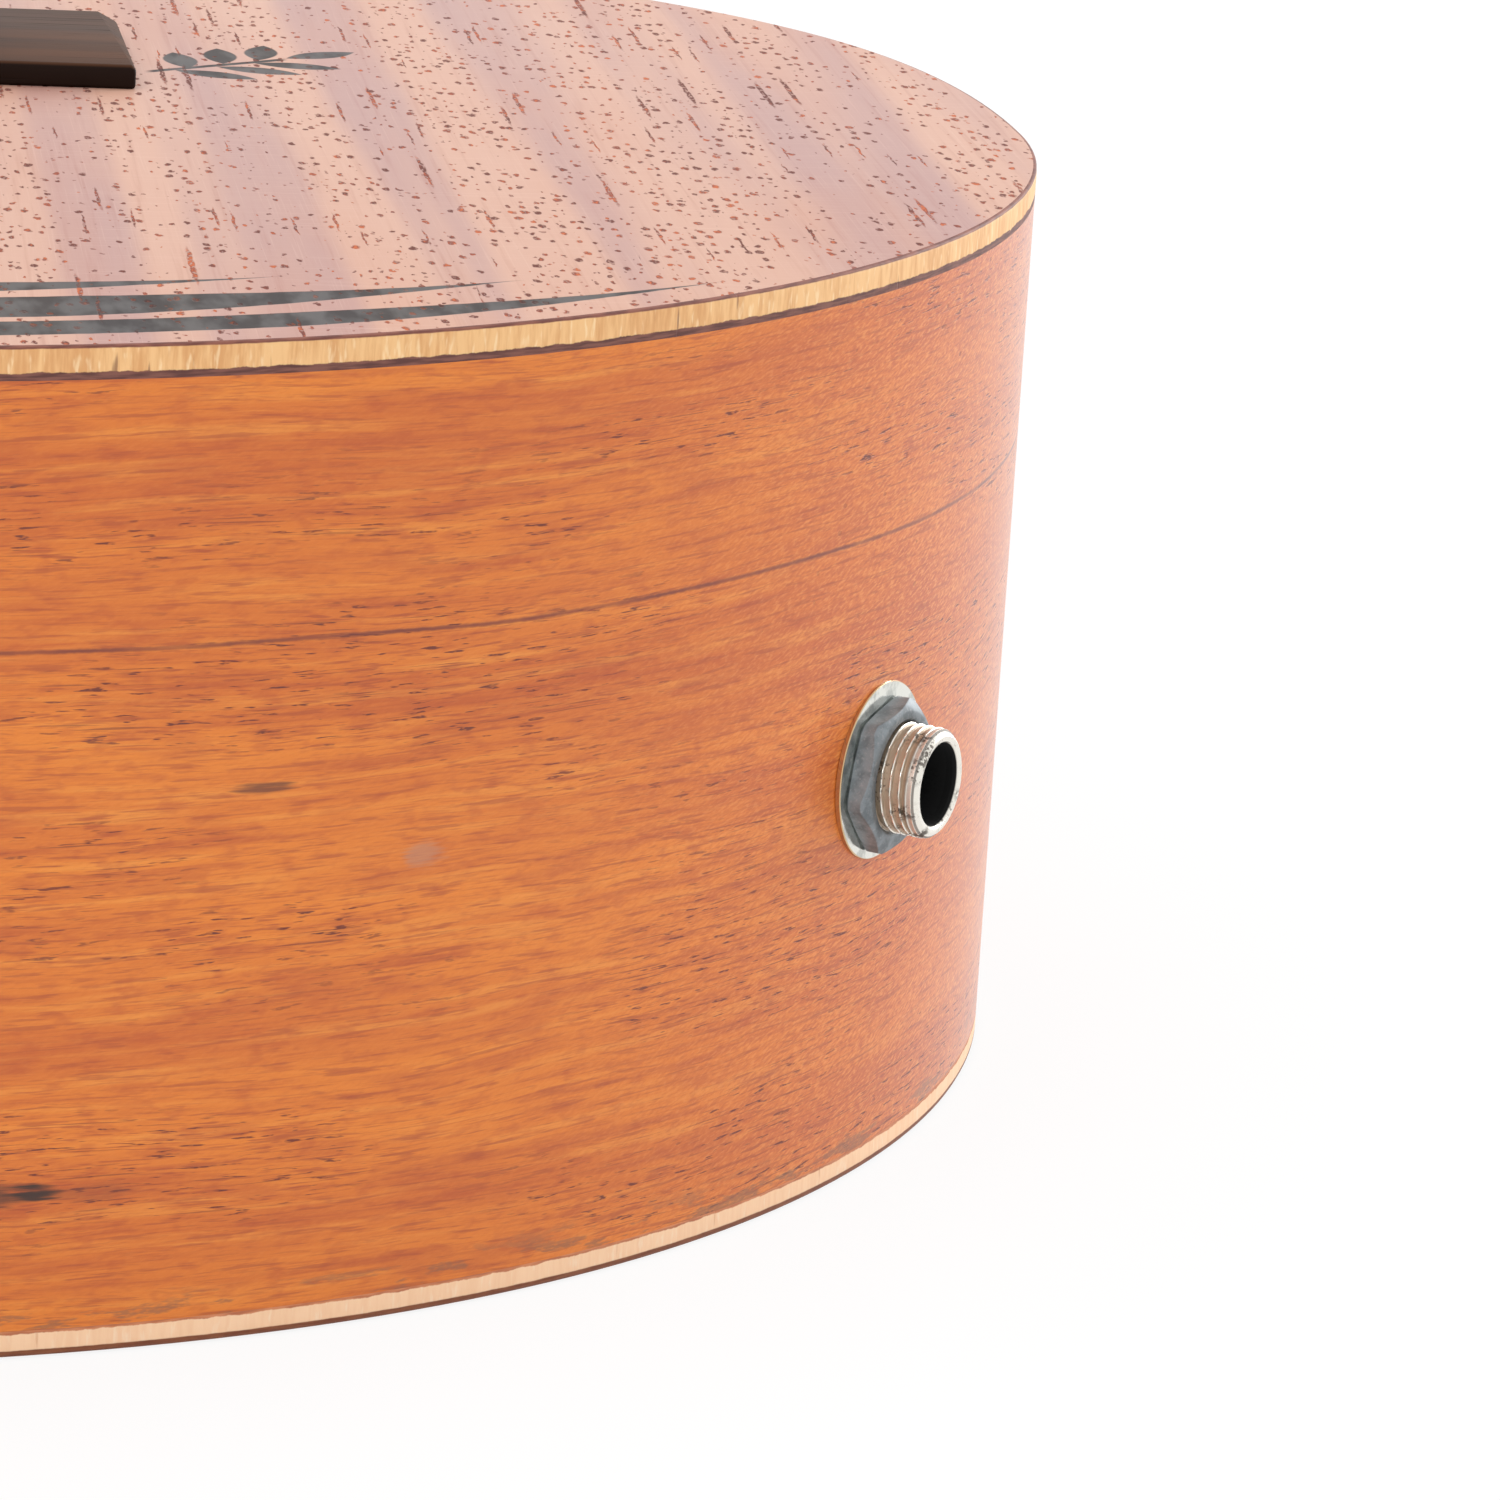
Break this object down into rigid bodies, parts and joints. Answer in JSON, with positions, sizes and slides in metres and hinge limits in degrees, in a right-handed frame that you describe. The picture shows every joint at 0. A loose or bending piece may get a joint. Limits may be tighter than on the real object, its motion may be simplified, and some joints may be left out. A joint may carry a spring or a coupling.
{
  "type": "tenor ukulele",
  "caption": "Tenor ukulele with a hollow wooden body, fretted neck, geared tuning machines that turn, and a pickup jack in its side.",
  "frame": {"origin": "on the back's outer face, on the centre line straight under the saddle", "axes": "+Y from the tail to the headstock, +X to the treble side, +Z from the back to the soundboard"},
  "size_m": [0.2222, 0.6717, 0.0842],
  "materials": {
    "soundboard": "satin open-pore mahogany face veneer",
    "back": "satin mahogany plywood",
    "sides": "satin orange-brown mahogany",
    "blocks": "raw mahogany",
    "inner_wood": "raw spruce",
    "neck": "satin mahogany",
    "overlay": "satin mahogany veneer",
    "fretboard": "oiled dark hardwood with nickel frets",
    "bridge": "satin dark hardwood",
    "bone": "polished bone",
    "piezo": "bare strip",
    "lead": "black insulated wire",
    "nickel": "nickel plate",
    "zinc": "dull zinc plate",
    "strings": "clear nylon",
    "tuner_steel": "nickel plate",
    "gear_brass": "machined brass",
    "buttons": "black"
  },
  "bodies": {
    "instrument": {"soundboard": "soundboard", "back": "back", "side_treble": "sides", "side_bass": "sides", "neck_block": "blocks", "tail_block": "blocks", "top_lining_treble": "inner_wood", "top_lining_bass": "inner_wood", "back_lining_treble": "inner_wood", "back_lining_bass": "inner_wood", "soundboard_brace_lower": "inner_wood", "soundboard_brace_upper": "inner_wood", "fan_brace_bass": "inner_wood", "fan_brace_middle": "inner_wood", "fan_brace_treble": "inner_wood", "back_brace_lower": "inner_wood", "back_brace_middle": "inner_wood", "back_brace_upper": "inner_wood", "bridge_patch": "inner_wood", "neck_dowel": "inner_wood", "neck": "neck", "headstock_overlay": "overlay", "fretboard": "fretboard", "bridge": "bridge", "nut": "bone", "saddle": "bone", "pickup_strip": "piezo", "pickup_lead": "lead", "jack_barrel": "nickel", "jack_washer": "nickel", "jack_nut": "zinc", "jack_inner_washer": "zinc", "string_1": "strings", "string_2": "strings", "string_3": "strings", "string_4": "strings", "tuner_plate_1": "tuner_steel", "tuner_plate_2": "tuner_steel", "tuner_plate_3": "tuner_steel", "tuner_plate_4": "tuner_steel", "post_bushing_1": "tuner_steel", "post_bushing_2": "tuner_steel", "post_bushing_3": "tuner_steel", "post_bushing_4": "tuner_steel"},
    "worm_4": {"worm_shaft_4": "tuner_steel", "tuner_button_4": "buttons"},
    "post_4": {"string_post_4": "tuner_steel", "tuner_gear_4": "gear_brass"},
    "worm_3": {"worm_shaft_3": "tuner_steel", "tuner_button_3": "buttons"},
    "post_3": {"string_post_3": "tuner_steel", "tuner_gear_3": "gear_brass"},
    "worm_2": {"worm_shaft_2": "tuner_steel", "tuner_button_2": "buttons"},
    "post_2": {"string_post_2": "tuner_steel", "tuner_gear_2": "gear_brass"},
    "worm_1": {"worm_shaft_1": "tuner_steel", "tuner_button_1": "buttons"},
    "post_1": {"string_post_1": "tuner_steel", "tuner_gear_1": "gear_brass"}
  },
  "joints": [
    {"name": "button_turn_4", "type": "hinge", "parent": "instrument", "child": "worm_4", "pos_m": [-0.01726, 0.46007, 0.04932], "axis": [-1, 0, 0], "continuous": true},
    {"name": "post_turn_4", "type": "hinge", "parent": "instrument", "child": "post_4", "pos_m": [-0.01726, 0.47013, 0.06465], "axis": [0, 0.225, 0.9744], "continuous": true, "deforming": ["string_4"]},
    {"name": "button_turn_3", "type": "hinge", "parent": "instrument", "child": "worm_3", "pos_m": [-0.01591, 0.50294, 0.03942], "axis": [-1, 0, 0], "continuous": true},
    {"name": "post_turn_3", "type": "hinge", "parent": "instrument", "child": "post_3", "pos_m": [-0.01591, 0.513, 0.05475], "axis": [0, 0.225, 0.9744], "continuous": true, "deforming": ["string_3"]},
    {"name": "button_turn_2", "type": "hinge", "parent": "instrument", "child": "worm_2", "pos_m": [0.01591, 0.50294, 0.03942], "axis": [1, 0, 0], "continuous": true},
    {"name": "post_turn_2", "type": "hinge", "parent": "instrument", "child": "post_2", "pos_m": [0.01591, 0.513, 0.05475], "axis": [0, 0.225, 0.9744], "continuous": true, "deforming": ["string_2"]},
    {"name": "button_turn_1", "type": "hinge", "parent": "instrument", "child": "worm_1", "pos_m": [0.01726, 0.46007, 0.04932], "axis": [1, 0, 0], "continuous": true},
    {"name": "post_turn_1", "type": "hinge", "parent": "instrument", "child": "post_1", "pos_m": [0.01726, 0.47013, 0.06465], "axis": [0, 0.225, 0.9744], "continuous": true, "deforming": ["string_1"]}
  ],
  "couplings": [
    {"joint": "post_turn_4", "follows": "button_turn_4", "ratio": -0.071429},
    {"joint": "post_turn_3", "follows": "button_turn_3", "ratio": -0.071429},
    {"joint": "post_turn_2", "follows": "button_turn_2", "ratio": -0.071429},
    {"joint": "post_turn_1", "follows": "button_turn_1", "ratio": -0.071429}
  ]
}
